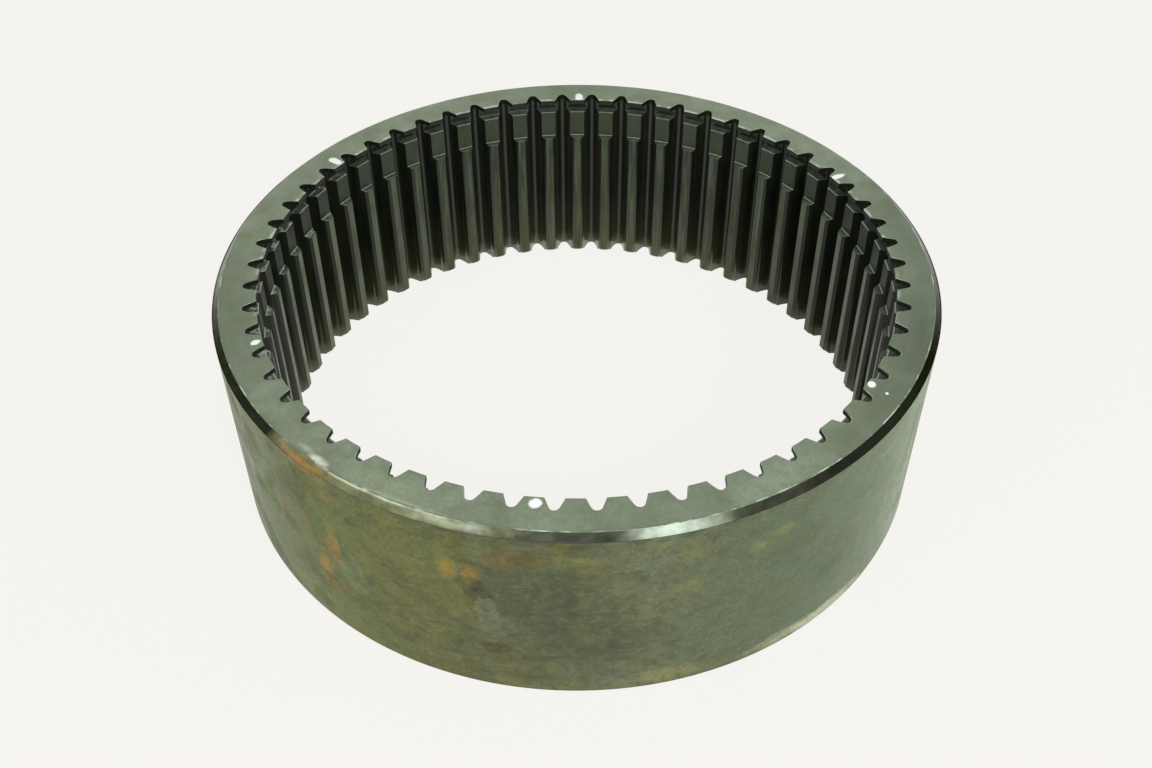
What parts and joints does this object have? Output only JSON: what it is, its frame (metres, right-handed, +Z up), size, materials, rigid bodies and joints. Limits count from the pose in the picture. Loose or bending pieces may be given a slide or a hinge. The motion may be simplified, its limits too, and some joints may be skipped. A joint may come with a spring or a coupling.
{
  "type": "internal ring gear",
  "caption": "Steel ring gear with straight internal teeth, a stepped seat with a retaining-ring groove at one end and chamfered edges.",
  "frame": {"origin": "centre of the bottom face, on the gear's axis", "axes": "+Z up along the gear's axis, towards the end with the retaining-ring groove; a tooth space is centred on +X"},
  "size_m": [0.33, 0.33, 0.0996],
  "materials": {
    "steel": "machined alloy steel, dark with oil and a thin brown and olive oxide"
  },
  "bodies": {
    "root": {"ring_gear": "steel"}
  },
  "joints": []
}
